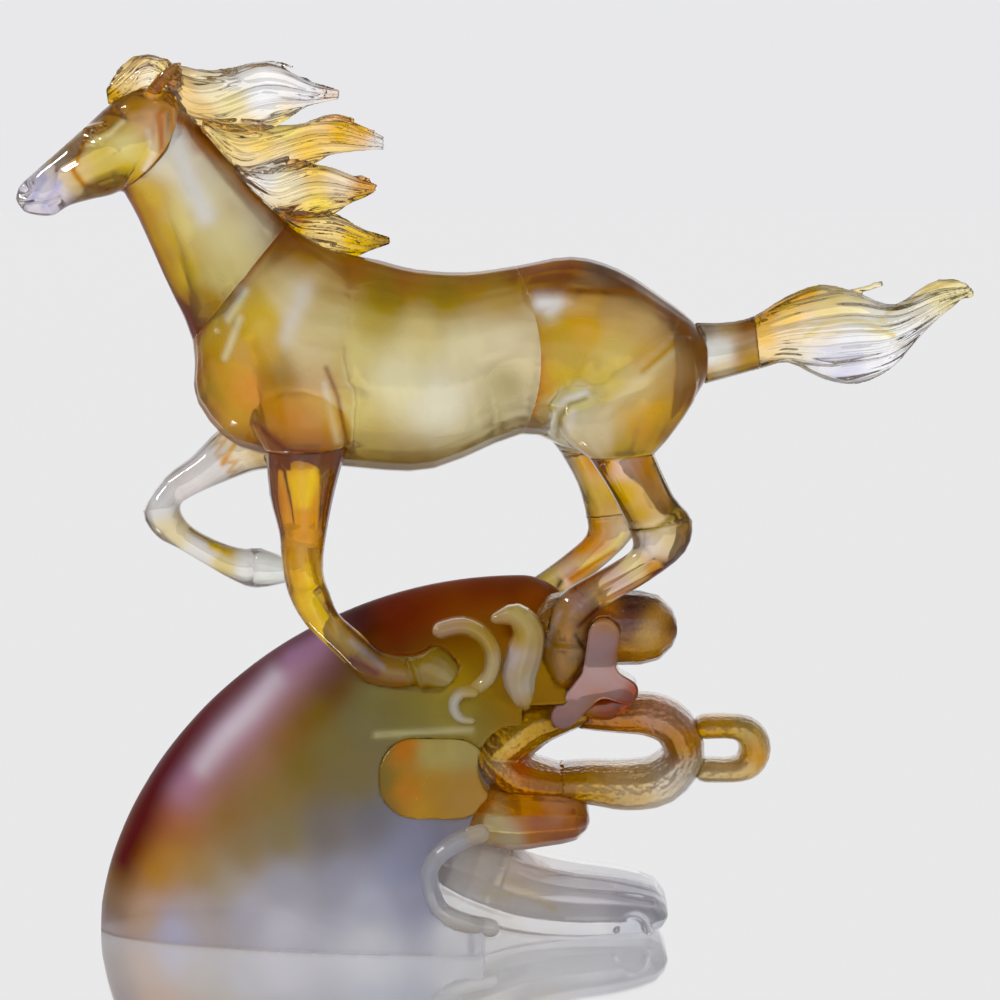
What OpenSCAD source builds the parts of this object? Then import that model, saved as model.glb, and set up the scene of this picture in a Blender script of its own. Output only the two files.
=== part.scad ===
// Galloping horse on a cloud base, in bonded cast crystal.
// +Z up, the horse faces -X, its left side is -Y, and the table is at z = 0.

/* [Base] */
// Height of the dome's ridge above the table
dome_h = 114; // [112:1:116]
// Length from the ridge's highest point to the thin front tip
dome_front = 136; // [132:1:140]
// Length from the ridge's highest point to the rear end
dome_rear = 44; // [40:1:48]
// Half of the base's width at the table
dome_half_w = 48; // [46:1:49]
// Sideways place of the ridge
ridge_y = 8; // [7:1:10]

/* [Clouds] */
// Half of the depth of the large cloud scrolls
cloud_half_d = 18; // [16:1:20]
// Half of the depth of the foot cloud
foot_half_d = 38; // [36:1:40]
// Radius of the small rear ring's centre line
small_ring_r = 7; // [6.5:0.5:8]
// Radius of the curl round the fore hoof
hoof_curl_r = 11; // [10:1:12]

/* [Horse] */
// Sideways place of the left legs, towards the viewer
left_y = -15; // [-17:1:-13]
// Sideways place of the right foreleg
right_y = 14; // [12:1:16]
// Half of the mane sheets' thickness at their roots
mane_half_t = 5; // [4:1:6]

/* [Hidden] */
dome_top_x = 8;
tip_round = 0.56;
arch_round = 1.55;
steps = 3;
far = 400;

// A section row is [top x, top z, low x, low z, half width, y].
// Head, from the neck joint to the muzzle
head_rows = [
    [-102, 270, -119, 238, 9, 0], [-112, 271, -121, 237, 11, 0],
    [-122, 266, -124, 236, 11, 0], [-131, 258, -129, 235, 9, 0],
    [-140, 250, -136, 233, 7, 0], [-148, 243, -141, 230, 6, 0],
    [-152, 239, -146, 230, 5, 0], [-153, 235, -150, 231, 3, 0]
];
// Trunk, from the head joint along the neck and back to the buttock
trunk_rows = [
    [-102, 270, -119, 238, 9, 0], [-93, 257, -114, 229, 9, 0],
    [-80, 243, -106, 211, 10, 0], [-66, 228, -97, 190, 14, 0],
    [-57, 222, -95, 170, 20, 0], [-48, 218, -82, 156, 23, 0],
    [-38, 216, -62, 152, 24, 0], [-26, 213, -42, 149, 24, 0],
    [-10, 212, -20, 149, 24, 0], [6, 214, 8, 160, 22, 0],
    [24, 217, 22, 156, 24, 0], [39, 213, 37, 154, 24, 0],
    [53, 204, 50, 156, 20, 0], [62, 197, 60, 167, 14, 0],
    [67, 191, 67, 178, 8, 0]
];
neck_joint = 3;
flank_joint = 9;
// Curved bond faces: the top and low points of the joint, and how far it bulges backwards
cheek_curve = [[-102, 270], [-119, 238], 7];
flank_curve = [[6, 214], [8, 160], 7];
// Upper arm and thighs: lobes that end flat where the legs are bonded on
upper_arm_rows = [
    [-82, 190, -46, 190, 8, left_y + 4], [-81, 176, -41, 176, 11, left_y + 3],
    [-78, 165, -43, 166, 12, left_y + 1], [-73, 156, -47, 158, 11, left_y]
];
left_thigh_rows = [
    [16, 190, 62, 192, 9, left_y + 6], [15, 172, 64, 176, 12, left_y + 4],
    [21, 161, 57, 163, 12, left_y + 2], [29, 154, 50, 155, 10, left_y + 1]
];
right_thigh_rows = [
    [12, 190, 58, 192, 9, 9], [12, 172, 58, 176, 12, 11],
    [15, 161, 50, 163, 11, 13], [20, 154, 42, 155, 9, 13]
];
left_foreleg_rows = [
    [-73, 156, -47, 158, 11, left_y],
    [-72, 142, -51, 144, 9, left_y], [-69, 130, -54, 129, 7, left_y],
    [-68, 119, -55, 118, 7, left_y], [-66, 110, -53, 111, 6, left_y],
    [-61, 101, -50, 104, 5, left_y], [-52, 92, -43, 98, 5, left_y],
    [-43, 83, -36, 92, 5, left_y], [-36, 80, -26, 91, 6, left_y],
    [-29, 79, -18, 94, 7, left_y], [-18, 78, -11, 87, 7, left_y]
];
right_foreleg_rows = [
    [-76, 168, -70, 148, 11, right_y - 4], [-89, 161, -78, 147, 9, right_y],
    [-98, 152, -89, 143, 7, right_y], [-107, 145, -98, 139, 6, right_y],
    [-114, 134, -102, 136, 6, right_y], [-110, 126, -101, 132, 5, right_y],
    [-103, 122, -97, 128, 5, right_y], [-93, 116, -89, 124, 5, right_y],
    [-86, 112, -82, 122, 5, right_y], [-78, 109, -76, 122, 6, right_y],
    [-67, 111, -68, 119, 6, right_y]
];
left_hind_rows = [
    [29, 154, 50, 155, 10, left_y + 1],
    [36, 143, 56, 142, 8, left_y], [42, 131, 62, 134, 7, left_y],
    [43, 125, 60, 124, 6, left_y], [38, 121, 49, 115, 5, left_y],
    [29, 116, 37, 108, 5, left_y], [20, 110, 31, 103, 6, left_y],
    [16, 99, 29, 99, 6, left_y], [14, 92, 29, 91, 7, left_y],
    [16, 84, 26, 84, 6, left_y], [18, 80, 23, 80, 3, left_y]
];
right_hind_rows = [
    [20, 154, 42, 155, 9, 13],
    [26, 143, 43, 142, 8, 15], [29, 132, 46, 134, 6, 16],
    [29, 126, 44, 125, 6, 18], [23, 120, 33, 114, 5, 20],
    [14, 113, 22, 106, 5, 22], [6, 107, 17, 100, 6, 23],
    [3, 97, 15, 96, 6, 24], [2, 88, 16, 88, 7, 25]
];
hock_joint = 2;
tail_rows = [
    [63, 196, 62, 175, 7, 0], [73, 196, 73, 178, 7, 0],
    [82, 198, 84, 181, 6, 0], [92, 204, 93, 183, 7, 0],
    [103, 208, 104, 178, 8, 0], [114, 206, 115, 176, 8, 0],
    [124, 202, 126, 181, 7, 0], [133, 203, 134, 190, 5, 0],
    [142, 208, 141, 197, 4, 0], [149, 208, 148, 203, 2, 0],
    [152, 206, 152, 204, 1, 0]
];
tail_joint = 2;
forelock_rows = [
    [-100, 275, -102, 266, 4, 0], [-106, 280, -108, 268, 5, 0],
    [-113, 281, -114, 267, 4, 0], [-120, 276, -119, 265, 3, 0],
    [-124, 270, -123, 264, 1, 0]
];
mane_upper_rows = [
    [-108, 279, -97, 258, mane_half_t, 0], [-90, 276, -84, 257, 5, 0],
    [-74, 279, -72, 259, 4, 0], [-60, 273, -62, 264, 3, 0],
    [-50, 270, -50, 267, 1, 0]
];
mane_middle_rows = [
    [-95, 262, -80, 242, mane_half_t, 0], [-82, 259, -72, 244, 5, 0],
    [-64, 259, -60, 247, 4, 0], [-50, 261, -48, 250, 3, 0],
    [-36, 255, -36, 251, 1, 0]
];
mane_lower_rows = [
    [-84, 246, -68, 228, mane_half_t, 0], [-70, 247, -60, 230, 5, 0],
    [-55, 246, -54, 231, 4, 0], [-46, 243, -46, 234, 3, 0],
    [-38, 240, -39, 237, 1, 0]
];
mane_withers_rows = [
    [-74, 236, -58, 219, mane_half_t, 0], [-62, 233, -54, 218, 5, 0],
    [-53, 230, -50, 218, 4, 0], [-43, 226, -43, 218, 3, 0],
    [-34, 223, -34, 221, 1, 0]
];

// A scroll point is [x, z, radius in the X-Z plane, half depth].
foot_lobe_path = [
    [-9, 19, 15, foot_half_d + 2], [6, 13, 13, foot_half_d],
    [22, 10, 12, foot_half_d - 4], [36, 9, 11, foot_half_d - 8],
    [45, 8, 10, foot_half_d - 12]
];
middle_lobe_path = [
    [-4, 39, 10, foot_half_d - 5], [6, 38, 11, foot_half_d - 6],
    [14, 38, 10, foot_half_d - 8], [21, 38, 9, foot_half_d - 10]
];
hook_upper_path = [
    [26, 71, 5, cloud_half_d - 2], [19, 70, 7, cloud_half_d],
    [11, 68, 9, cloud_half_d + 3], [3, 62, 9, cloud_half_d + 5]
];
hook_lower_path = [
    [0, 56, 8, cloud_half_d + 4], [6, 51, 8, cloud_half_d + 4],
    [13, 49, 7, cloud_half_d + 2], [20, 48, 6, cloud_half_d]
];
big_loop_path = [
    [18, 48, 6, cloud_half_d], [30, 48, 7, cloud_half_d],
    [42, 47, 8, cloud_half_d], [53, 49, 8, cloud_half_d],
    [60, 57, 7, cloud_half_d - 1], [57, 66, 7, cloud_half_d - 2],
    [49, 70, 7, cloud_half_d - 3], [40, 70, 6, cloud_half_d - 4],
    [31, 70, 5, cloud_half_d - 4], [25, 70, 4, cloud_half_d - 4]
];
red_lobe_path = [[29, 74, 4, 9], [35, 74, 5, 9], [40, 76, 4, 9]];
red_lobe_y = -9;
top_knob_path = [
    [22, 98, 12, cloud_half_d], [34, 98, 12, cloud_half_d - 2], [46, 98, 12, cloud_half_d - 4]
];
crest_path = [
    [0, 103, 2, 4], [6, 104, 4, 7], [10, 99, 5, 9],
    [9, 92, 6, 11], [7, 85, 6, 12], [8, 79, 5, 12]
];
crest_y = -17;
front_curl_path = [
    [-5, 38, 3, 5], [-13, 35, 3, 6], [-20, 29, 3, 6], [-21, 22, 3, 6],
    [-18, 14, 3, 6], [-11, 10, 3, 6], [-2, 8, 3, 5]
];
front_curl_y = -42;
// Little curl on the foot cloud's left face, and the two turns of the curl round the fore hoof
foot_curl_centre = [43, 4];
foot_curl_r = 5;
hoof_curl_y = -18;
hoof_curl_centre = [-12, 90];
hoof_curl_turn = [120, -70];
hoof_tail_centre = [-9, 76];
hoof_tail_r = 4.5;
hoof_tail_turn = [70, 280];
// Small rear ring: centre, radius of its bar, and how far its ends reach into the large loop
ring_centre = [76, 59];
ring_bar_r = 4;
ring_reach = 9;
ring_half_d = 10;

// Centre, reach of each arm and arm tips of the star-shaped cloud: [x, z, tip radius]
star_centre = [32, 84, 5];
star_tips = [[34, 98, 5], [41, 80, 4], [21, 72, 4]];
star_fillet = 4;
star_front = -22;
star_back = -5;

// Cloud inlaid in the dome's left face: [left, right, low, top] and how far it sinks and stands out
inlay_box = [-37, -2, 42, 66];
inlay_round = 11;
inlay_back = -22;
inlay_proud = 0.8;

// Steps cut in the dome's rear for the clouds, [front x, low z, top z], and scoops, [x, z, radius]
bay_steps = [[-4, -1, 30], [8, 20, 76], [22, 60, far]];
bay_scoops = [[6, 36, 15], [6, 58, 12], [-8, 20, 13]];

// One ear from its root to its tip: [x, sideways, z, radius]
ear_points = [[-110, 4, 268, 2.2], [-105, 6, 274, 2], [-101, 7, 278, 0.8]];

// Scroll points along an arc: turn is [first angle, last angle], and bulge thickens the outer end
function arc_path(centre, r, turn, thick, depth, bulge = 0, count = 8) = [
    for (i = [0:count]) let (a = turn[0] + (turn[1] - turn[0]) * i / count)
        [centre[0] + r * cos(a), centre[1] + r * sin(a), thick + bulge * max(cos(a), 0), depth]
];

// Catmull-Rom blend of four rows
function blend(a, b, c, d, t) =
    0.5 * (2 * b + (c - a) * t + (2 * a - 5 * b + 4 * c - d) * pow(t, 2)
        + (3 * b - a - 3 * c + d) * pow(t, 3));
function smooth(rows) = let (last = len(rows) - 1) concat(
    [for (i = [0:last - 1], k = [0:steps - 1])
        blend(rows[max(i - 1, 0)], rows[i], rows[i + 1], rows[min(i + 2, last)], k / steps)],
    [rows[last]]);
function unit(v) = v / norm(v);
function power(v, p) = sign(v) * pow(abs(v), p);

// One planar ring through a row's top and low points; hand keeps its turn right
function ring(row, n, egg, square, hand) = let (
    top = [row[0], row[5], row[1]], low = [row[2], row[5], row[3]],
    mid = (top + low) / 2, up = (top - low) / 2)
    [for (i = [0:n - 1]) let (a = hand * 360 * i / n)
        mid + up * power(cos(a), square)
            + [0, row[4] * power(sin(a), square) * (1 + egg * cos(a)), 0]];

// Closed solid through rings that all have n points
module skin(rings, n) {
    count = len(rings);
    sides = [for (r = [0:count - 2], i = [0:n - 1]) let (j = (i + 1) % n, a = r * n, b = a + n)
        each [[b + j, a + j, a + i], [b + i, b + j, a + i]]];
    start_cap = [[for (i = [0:n - 1]) i]];
    end_cap = [[for (i = [n - 1:-1:0]) (count - 1) * n + i]];
    polyhedron([for (r = rings) each r], concat(sides, start_cap, end_cap), convexity = 6);
}

function mid_of(row) = [row[0] + row[2], 2 * row[5], row[1] + row[3]] / 2;
function hand_of(rows) = let (
    up = [rows[0][0] - rows[0][2], 0, rows[0][1] - rows[0][3]],
    travel = mid_of(rows[1]) - mid_of(rows[0]))
    cross(up, [0, 1, 0]) * travel > 0 ? 1 : -1;

// Solid through the stretch of rows from first to last
module loft(rows, first = 0, last = -1, n = 20, egg = 0, square = 1) {
    end = last < 0 ? len(rows) - 1 : last;
    all_rows = smooth(rows);
    hand = hand_of(rows);
    skin([for (i = [first * steps:end * steps]) ring(all_rows[i], n, egg, square, hand)], n);
}

// Round-ended scroll along a path in the X-Z plane
function end_points(p, q) = let (d = unit([p[0] - q[0], p[1] - q[1]])) [
    for (t = [0.5, 0.85, 0.97]) let (k = sqrt(1 - t * t))
        [p[0] + d[0] * p[2] * t, p[1] + d[1] * p[2] * t, p[2] * k, p[3] * (0.5 + k / 2)]];
function scroll_rows(path, y) = let (
    body = smooth(path), last = len(body) - 1,
    head_end = end_points(body[0], body[1]), tail_end = end_points(body[last], body[last - 1]),
    pts = concat([for (i = [2:-1:0]) head_end[i]], body, tail_end), top = len(pts) - 1)
    [for (i = [0:top]) let (
        a = pts[max(i - 1, 0)], b = pts[min(i + 1, top)],
        d = unit([b[0] - a[0], b[1] - a[1]]), p = pts[i])
        [p[0] - d[1] * p[2], p[1] + d[0] * p[2], p[0] + d[1] * p[2], p[1] - d[0] * p[2], p[3], y]];
module scroll(path, y = 0, n = 15, square = 0.9) {
    rows = scroll_rows(path, y);
    skin([for (row = rows) ring(row, n, 0, square, hand_of(rows))], n);
}

// The first child, ground to fit all the others
module ground() {
    resize([0, 0, 0]) difference() {
        children(0);
        for (i = [1:1:$children - 1]) children(i);
    }
}

// Dome: an arch with an offset ridge, lofted along X; grow makes it larger all round
function dome_u(x) = x < dome_top_x ? (dome_top_x - x) / dome_front : (x - dome_top_x) / dome_rear;
function dome_z(x) = dome_h * pow(max(1 - pow(dome_u(x), 2), 0), tip_round);
function dome_w(x) = dome_half_w * sqrt(max(1 - pow(dome_u(x), 2), 0));
function dome_ring(x, n, grow) = let (
    w = dome_w(x), h = dome_z(x) + grow, peak = ridge_y * w / dome_half_w)
    [for (i = [0:n - 1]) let (
        a = 180 * i / (n - 1), side = (cos(a) > 0 ? w - peak : w + peak) + grow)
        [x, peak + side * power(cos(a), 2 / arch_round), h * pow(max(sin(a), 0), 2 / arch_round)]];
module dome_shape(grow = 0) {
    n = 29;
    rows = 24;
    edge = 6;
    skin([for (i = [0:rows]) let (
        a = edge + (180 - 2 * edge) * i / rows,
        x = dome_top_x + (cos(a) > 0 ? -dome_front : -dome_rear) * cos(a))
        dome_ring(x, n, grow)], n);
}

// Round-cornered block that reaches into the dome's left face, for the inlaid cloud
module inlay_block() {
    translate([0, inlay_back, 0])
        rotate([90, 0, 0])
            linear_extrude(far)
                offset(r = inlay_round, $fn = 48)
                    translate([inlay_box[0] + inlay_round, inlay_box[2] + inlay_round])
                        square([
                            inlay_box[1] - inlay_box[0] - 2 * inlay_round,
                            inlay_box[3] - inlay_box[2] - 2 * inlay_round
                        ]);
}

// Scalloped space at the dome's rear, which the clouds fill
module cloud_bay() {
    for (b = bay_steps)
        translate([b[0], -far / 2, b[1]])
            cube([far, far, b[2] - b[1]]);
    for (c = bay_scoops)
        translate([c[0], 0, c[1]])
            rotate([90, 0, 0])
                cylinder(h = far, r = c[2], center = true, $fn = 64);
}
module dome_blank() {
    difference() {
        dome_shape();
        cloud_bay();
        inlay_block();
    }
}
module inlay_shape() {
    intersection() {
        dome_shape(inlay_proud);
        inlay_block();
    }
}

// Round block whose back edge is a joint's curved bond face
module joint_disc(curve) {
    a = curve[0];
    b = curve[1];
    bulge = curve[2];
    radius = (pow(norm(b - a) / 2, 2) + pow(bulge, 2)) / (2 * bulge);
    backwards = unit([a[1] - b[1], b[0] - a[0]]);
    centre = (a + b) / 2 + (bulge - radius) * backwards;
    translate([centre[0], 0, centre[1]])
        rotate([90, 0, 0])
            cylinder(h = far, r = radius, center = true, $fn = 120);
}

module trunk_shape(first, last) { loft(trunk_rows, first, last, n = 26, egg = -0.1); }
module trunk_front_shape() {
    trunk_shape(neck_joint, flank_joint);
    loft(upper_arm_rows, n = 20);
    intersection() {
        trunk_shape(flank_joint, flank_joint + 1);
        joint_disc(flank_curve);
    }
}
module hindquarters_shape() {
    difference() {
        union() {
            trunk_shape(flank_joint, len(trunk_rows) - 1);
            loft(left_thigh_rows, n = 20);
            loft(right_thigh_rows, n = 20);
        }
        joint_disc(flank_curve);
    }
}
module ear(side) {
    hull()
        for (p = ear_points)
            translate([p[0], side * p[1], p[2]])
                sphere(p[3], $fn = 12);
}
module head_shape() {
    loft(head_rows, n = 26, egg = -0.1);
    intersection() {
        trunk_shape(0, 1);
        joint_disc(cheek_curve);
    }
    ear(-1);
    ear(1);
}
module left_cannon_shape() { loft(left_hind_rows, hock_joint, n = 18); }
module right_cannon_shape() { loft(right_hind_rows, hock_joint, n = 18); }
module left_foreleg_shape() { loft(left_foreleg_rows, n = 16); }
module foot_lobe_shape() {
    scroll(foot_lobe_path);
    // Little curl cast on the lobe's left face
    scroll(arc_path(foot_curl_centre, foot_curl_r, [180, 0], 1.4, 5, count = 5),
        15 - foot_half_d, n = 12);
}
module middle_lobe_shape() { scroll(middle_lobe_path); }
module hook_shape() {
    scroll(hook_upper_path);
    scroll(hook_lower_path);
}
module big_loop_shape() { scroll(big_loop_path); }
module small_ring_shape() {
    root = ring_centre - [ring_reach, 0];
    scroll(concat(
        [[root[0], root[1] + small_ring_r, ring_bar_r, ring_half_d]],
        arc_path(ring_centre, small_ring_r, [90, -90], ring_bar_r, ring_half_d, 1.3, 4),
        [[root[0], root[1] - small_ring_r, ring_bar_r, ring_half_d]]));
}
module red_lobe_shape() { scroll(red_lobe_path, red_lobe_y); }
module star_outline() {
    offset(r = -star_fillet, $fn = 24)
        offset(delta = star_fillet)
            for (tip = star_tips)
                hull()
                    for (p = [star_centre, tip])
                        translate([p[0], p[1]])
                            circle(p[2], $fn = 24);
}
module star_shape() {
    translate([0, star_back, 0])
        rotate([90, 0, 0])
            linear_extrude(star_back - star_front)
                star_outline();
}
module top_knob_shape() { scroll(top_knob_path); }
module front_curl_shape() { scroll(front_curl_path, front_curl_y, n = 10); }
module hoof_curl_shape() {
    scroll(arc_path(hoof_curl_centre, hoof_curl_r, hoof_curl_turn, 3, 8, count = 5),
        hoof_curl_y, n = 12);
    scroll(arc_path(hoof_tail_centre, hoof_tail_r, hoof_tail_turn, 2, 6, count = 5),
        hoof_curl_y - 6, n = 12);
}
module crest_shape() { scroll(crest_path, crest_y, n = 12); }
module table() { translate([-far / 2, -far / 2, -far]) cube(far); }

module forelock_shape() { loft(forelock_rows, n = 12); }
module neck_shape() { trunk_shape(0, neck_joint); }
module horse_back_shape() { trunk_shape(0, flank_joint); }
module mane_upper_shape() { loft(mane_upper_rows, n = 12); }
module mane_middle_shape() { loft(mane_middle_rows, n = 12); }
module mane_lower_shape() { loft(mane_lower_rows, n = 12); }
module left_gaskin_shape() { loft(left_hind_rows, 0, hock_joint, n = 18); }
module right_gaskin_shape() { loft(right_hind_rows, 0, hock_joint, n = 18); }

module base_dome() {
    color("sienna") ground() {
        dome_blank();
        left_foreleg_shape();
        left_cannon_shape();
        right_cannon_shape();
    }
}
module cloud_inlay() {
    color("orange") ground() {
        inlay_shape();
        cloud_bay();
    }
}
module cloud_foot_lobe() {
    color("whitesmoke") ground() {
        foot_lobe_shape();
        dome_blank();
        table();
    }
}
module cloud_middle_lobe() {
    color("orange") ground() {
        middle_lobe_shape();
        dome_blank();
        inlay_shape();
        foot_lobe_shape();
    }
}
module cloud_hook() {
    color("peru") ground() {
        hook_shape();
        dome_blank();
        inlay_shape();
        middle_lobe_shape();
        star_shape();
    }
}
module cloud_big_loop() {
    color("plum") ground() {
        big_loop_shape();
        dome_blank();
        middle_lobe_shape();
        hook_shape();
        star_shape();
    }
}
module cloud_small_ring() {
    color("thistle") ground() {
        small_ring_shape();
        big_loop_shape();
    }
}
module cloud_red_lobe() {
    color("tomato") ground() {
        red_lobe_shape();
        big_loop_shape();
        hook_shape();
        star_shape();
    }
}
module cloud_star() {
    color("rosybrown") ground() {
        star_shape();
        dome_blank();
        left_cannon_shape();
    }
}
module cloud_top_knob() {
    color("goldenrod") ground() {
        top_knob_shape();
        dome_blank();
        star_shape();
        crest_shape();
        left_cannon_shape();
        right_cannon_shape();
    }
}
module cloud_crest() {
    color("khaki") ground() {
        crest_shape();
        dome_blank();
        left_cannon_shape();
        star_shape();
        hook_shape();
    }
}
module cloud_front_curl() {
    color("gainsboro") ground() {
        front_curl_shape();
        dome_blank();
        foot_lobe_shape();
        middle_lobe_shape();
    }
}
module cloud_hoof_curl() {
    color("orange") ground() {
        hoof_curl_shape();
        dome_blank();
        left_foreleg_shape();
        crest_shape();
        hook_shape();
    }
}
module head() {
    color("goldenrod") ground() head_shape();
}
module forelock() {
    color("sandybrown") ground() {
        forelock_shape();
        head_shape();
    }
}
module neck() {
    color("khaki") ground() {
        neck_shape();
        joint_disc(cheek_curve);
    }
}
module mane_upper() {
    color("whitesmoke") ground() {
        mane_upper_shape();
        neck_shape();
        head_shape();
        forelock_shape();
    }
}
module mane_middle() {
    color("gold") ground() {
        mane_middle_shape();
        neck_shape();
        mane_upper_shape();
    }
}
module mane_lower() {
    color("orange") ground() {
        mane_lower_shape();
        horse_back_shape();
        mane_middle_shape();
    }
}
module mane_withers() {
    color("goldenrod") ground() {
        loft(mane_withers_rows, n = 12);
        horse_back_shape();
        mane_lower_shape();
    }
}
module trunk_front() {
    color("moccasin") ground() {
        trunk_front_shape();
        left_foreleg_shape();
    }
}
module hindquarters() {
    color("chocolate") ground() {
        hindquarters_shape();
        left_gaskin_shape();
        right_gaskin_shape();
    }
}
module left_foreleg() {
    color("firebrick") left_foreleg_shape();
}
module right_foreleg() {
    color("lightgray") ground() {
        loft(right_foreleg_rows, n = 14);
        trunk_front_shape();
        left_foreleg_shape();
    }
}
module left_gaskin() {
    color("orange") left_gaskin_shape();
}
module left_hind_cannon() {
    color("goldenrod") left_cannon_shape();
}
module right_gaskin() {
    color("orange") ground() {
        right_gaskin_shape();
        left_gaskin_shape();
    }
}
module right_hind_cannon() {
    color("goldenrod") right_cannon_shape();
}
module tail_dock() {
    color("wheat") ground() {
        loft(tail_rows, 0, tail_joint, n = 14);
        trunk_shape(flank_joint, len(trunk_rows) - 1);
    }
}
module tail_switch() {
    color("orange") loft(tail_rows, tail_joint, n = 14);
}

base_dome();
cloud_inlay();
cloud_foot_lobe();
cloud_middle_lobe();
cloud_hook();
cloud_big_loop();
cloud_small_ring();
cloud_red_lobe();
cloud_star();
cloud_top_knob();
cloud_crest();
cloud_front_curl();
cloud_hoof_curl();
head();
forelock();
neck();
mane_upper();
mane_middle();
mane_lower();
mane_withers();
trunk_front();
hindquarters();
left_foreleg();
right_foreleg();
left_gaskin();
left_hind_cannon();
right_gaskin();
right_hind_cannon();
tail_dock();
tail_switch();
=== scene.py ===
"""Looks of the cast-crystal horse on its cloud base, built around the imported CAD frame."""
import math

import bmesh
import bpy
import numpy as np
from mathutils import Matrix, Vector


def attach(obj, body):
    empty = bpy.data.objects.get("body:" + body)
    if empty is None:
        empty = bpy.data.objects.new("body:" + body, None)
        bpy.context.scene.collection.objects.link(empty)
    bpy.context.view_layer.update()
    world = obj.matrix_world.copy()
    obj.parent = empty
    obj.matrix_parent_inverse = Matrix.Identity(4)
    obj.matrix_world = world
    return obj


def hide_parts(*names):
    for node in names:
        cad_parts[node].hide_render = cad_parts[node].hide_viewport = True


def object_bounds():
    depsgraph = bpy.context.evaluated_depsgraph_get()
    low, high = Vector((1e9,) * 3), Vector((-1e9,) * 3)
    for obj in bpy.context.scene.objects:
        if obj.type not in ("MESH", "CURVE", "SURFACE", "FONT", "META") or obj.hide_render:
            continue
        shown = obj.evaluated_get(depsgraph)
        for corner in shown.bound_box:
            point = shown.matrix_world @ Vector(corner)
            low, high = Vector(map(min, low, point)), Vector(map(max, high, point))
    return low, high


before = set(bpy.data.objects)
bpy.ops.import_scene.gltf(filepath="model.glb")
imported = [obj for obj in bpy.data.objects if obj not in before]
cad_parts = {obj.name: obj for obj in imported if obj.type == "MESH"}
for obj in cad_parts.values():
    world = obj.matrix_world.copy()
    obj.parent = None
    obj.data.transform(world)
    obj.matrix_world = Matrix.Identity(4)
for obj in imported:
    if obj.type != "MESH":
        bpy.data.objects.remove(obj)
cad_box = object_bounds()
MM = 0.001
BODY = "root"


# ---------------------------------------------------------------- colours

def srgb(text):
    """Linear colour of a #RRGGBB name."""
    parts = [int(text[i:i + 2], 16) / 255 for i in (1, 3, 5)]
    return [c / 12.92 if c <= 0.04045 else ((c + 0.055) / 1.055) ** 2.4 for c in parts]


# Each spot is (x mm, z mm, colour). A surface point takes a blend of the nearest spots.
# Each streak is (colour, radius mm, point, point, ...) and is drawn over the spots. Some spots and
# streaks are painted highlights; the notes in each table say which.
DOME_TINT = [
    (-127, 3, "#C8BCC0"), (-124, 10, "#9A7C58"), (-121, 19, "#84541C"), (-118, 29, "#8A380C"),
    (-113, 38, "#742010"), (-106, 51, "#6E1C1C"), (-94, 69, "#64181C"), (-78, 86, "#5E141C"),
    (-62, 98, "#581418"), (-43, 102, "#3C0C14"), (-36, 107, "#742406"), (-28, 102, "#863006"),
    (-20, 106, "#943C06"), (-16, 109, "#AC5606"), (-6, 110, "#9A4406"), (2, 112, "#9A4A0A"),
    (18, 112, "#A85C10"), (-111, 9, "#D8B490"), (-108, 21, "#C88A34"), (-102, 27, "#CA924A"),
    (-94, 23, "#B08E52"), (-100, 38, "#BE7A54"), (-107, 40, "#A4543C"), (-95, 45, "#BC8474"),
    (-103, 48, "#AA6068"), (-88, 40, "#A07A44"), (-79, 30, "#967A48"), (-85, 19, "#B4A888"),
    (-67, 35, "#8E7C48"), (-53, 37, "#7E746A"), (-72, 48, "#A08650"), (-76, 57, "#B07E68"),
    (-62, 57, "#8A7632"), (-53, 63, "#8A7E4C"), (-58, 74, "#806214"), (-67, 66, "#9E6C3C"),
    (-63, 74, "#8E5C1E"), (-44, 70, "#868060"), (-44, 54, "#8E7E4C"), (-40, 40, "#7A7678"),
    (-67, 21, "#ACACB8"), (-49, 23, "#A0A0AE"), (-31, 25, "#9498AE"), (-26, 34, "#9494A8"),
    (-26, 17, "#A4A4BC"), (-40, 13, "#C0C0D2"), (-94, 11, "#CCC0BC"), (-80, 13, "#D0CEDC"),
    (-67, 8, "#E8E6F0"), (-103, 5, "#D0D0E8"), (-40, 5, "#F4F4F8"), (-10, 8, "#FAFAFC"),
    (-57, 84, "#560E08"), (-52, 81, "#6A3C06"), (-40, 76, "#868050"), (-26, 74, "#8C8448"),
    (-14, 76, "#A89C50"), (-12, 84, "#A8842C"), (-24, 90, "#8A5208"), (-32, 94, "#7A2C08"),
    (-10, 97, "#A06410"), (-2, 92, "#B0801C"), (6, 98, "#B87018"), (14, 90, "#B89030"),
]
DOME_LINES_AND_HIGHLIGHTS = [
    # The first three streaks are a painted highlight: the lavender band of reflected light inside the
    # upper-left rim of the dome.
    ("#C898B8", 6.5, (-100, 48), (-90, 58), (-78, 71), (-67, 83), (-57, 92)),
    ("#F0E4F2", 3.6, (-94, 55), (-87, 64), (-79, 72), (-71, 82)),
    ("#D0A0C8", 2.5, (-66, 89), (-56, 94)),
    ("#560C10", 5, (-120, 24), (-109, 49), (-94, 72), (-76, 90), (-56, 102)),
    ("#D8D09C", 1, (-38, 67), (-24, 68), (-8, 69)),
]
INLAY_TINT = [
    (-35, 64, "#A89048"), (-30, 63, "#E89844"), (-28, 50, "#E8A038"), (-20, 62, "#D8C880"),
    (-20, 52, "#D8A850"), (-36, 54, "#A08840"), (-24, 44, "#ECB44C"), (-12, 64, "#DCCC88"),
    (-10, 50, "#E0B060"), (-35, 44, "#B08C48"),
]
FOOT_TINT = [
    (-10, 10, "#F4F4F8"), (0, 23, "#F0DCC0"), (12, 22, "#ECDCCC"), (24, 20, "#DCDAE4"),
    (34, 17, "#C4C4D6"), (40, 15, "#A8A8C2"), (50, 12, "#AEB2C4"), (54, 8, "#98A0B0"),
    (44, 5, "#C8CCDC"), (30, 8, "#F0EEF2"), (16, 8, "#F4F2F4"), (46, 2, "#E8E8F0"),
]
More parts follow.
